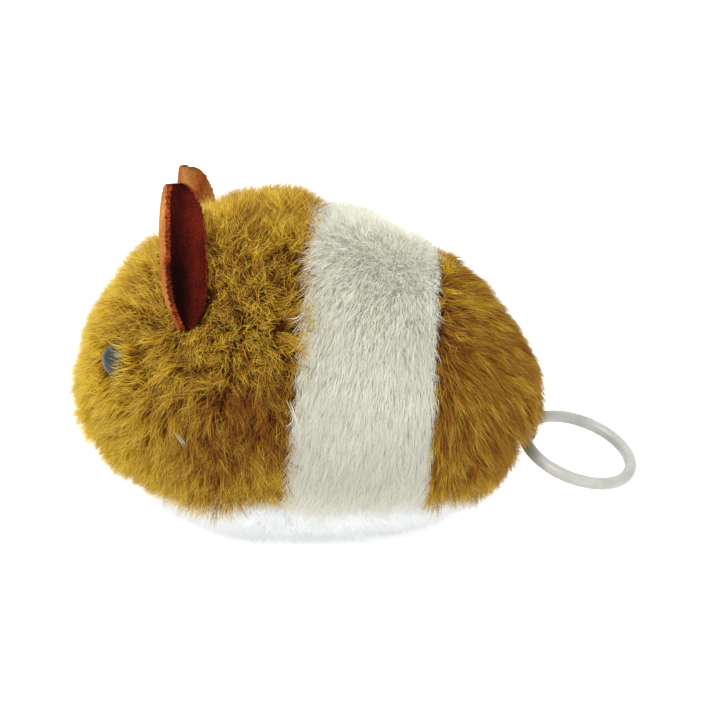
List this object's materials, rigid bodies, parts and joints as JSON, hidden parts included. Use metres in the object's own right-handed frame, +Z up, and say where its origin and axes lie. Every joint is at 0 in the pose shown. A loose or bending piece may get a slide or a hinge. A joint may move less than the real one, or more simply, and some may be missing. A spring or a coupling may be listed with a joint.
{
  "type": "plush pull-ring clockwork mouse",
  "caption": "Fluffy plush mouse with folded ears and a tail pull ring on a cord that winds a spring-driven off-centre weight, so the toy shakes and creeps along.",
  "frame": {"origin": "centre of the flat patch under the belly, on the surface the toy rests on", "axes": "-X towards the nose, +X towards the pull ring, +Z up, -Y towards the mouse's own left"},
  "size_m": [0.1017, 0.058, 0.0647],
  "materials": {
    "brown_plush": "long soft pile, golden brown with darker roots",
    "ivory_plush": "soft pile, ivory",
    "white_plush": "long soft pile, white",
    "ear_cloth": "matt bonded leather cloth, red brown with rough rust cut edges",
    "black_plastic": "gloss black",
    "washer_plastic": "matt natural",
    "fibre_fill": "loose polyester fibre",
    "milky_plastic": "satin, milky translucent",
    "cord": "braided cord",
    "case_plastic": "moulded, satin",
    "drum_plastic": "moulded acetal, orange",
    "gear_plastic": "moulded acetal, natural",
    "steel": "bright",
    "spring_steel": "blued strip",
    "weight_steel": "sintered, dull"
  },
  "bodies": {
    "body": {"head_plush": "brown_plush", "middle_band_plush": "ivory_plush", "rump_plush": "brown_plush", "belly_plush": "white_plush", "ear_left": "ear_cloth", "ear_right": "ear_cloth", "eye_left": "black_plastic", "eye_right": "black_plastic", "eye_washers": "washer_plastic", "stuffing": "fibre_fill", "tail_eyelet": "milky_plastic", "cord_guide": "milky_plastic", "case_left": "case_plastic", "case_right": "case_plastic", "case_screws": "steel", "drum_axle": "steel", "idler_axle": "steel", "mainspring": "spring_steel"},
    "drum": {"cord_drum": "drum_plastic", "cord_winding": "cord"},
    "idler": {"idler_gear": "gear_plastic"},
    "weight": {"weight_pinion": "gear_plastic", "eccentric_weight": "weight_steel", "weight_axle": "steel"},
    "ring": {"pull_ring": "milky_plastic", "cord_knot": "cord", "cord_lead": "cord"}
  },
  "joints": [
    {"name": "weight_spin", "type": "hinge", "parent": "body", "child": "weight", "pos_m": [-0.01475, 0, 0.02768], "axis": [0, -1, 0], "range_deg": [0, 11700]},
    {"name": "idler_spin", "type": "hinge", "parent": "body", "child": "idler", "pos_m": [-0.00316, 0, 0.03079], "axis": [0, -1, 0], "range_deg": [-3901, 0]},
    {"name": "drum_spin", "type": "hinge", "parent": "body", "child": "drum", "pos_m": [0.01, 0, 0.026], "axis": [0, -1, 0], "range_deg": [0, 1064], "stiffness_Nm_per_rad": 0.001, "deforming": ["mainspring"]},
    {"name": "ring_pull", "type": "slide", "parent": "body", "child": "ring", "axis": [1, 0, 0], "range_m": [0, 0.15], "deforming": ["cord_lead"]}
  ],
  "couplings": [
    {"joint": "idler_spin", "follows": "weight_spin", "ratio": -0.33333},
    {"joint": "drum_spin", "follows": "weight_spin", "ratio": 0.090909},
    {"joint": "ring_pull", "follows": "weight_spin", "m_per_rad": 0.00073182}
  ]
}
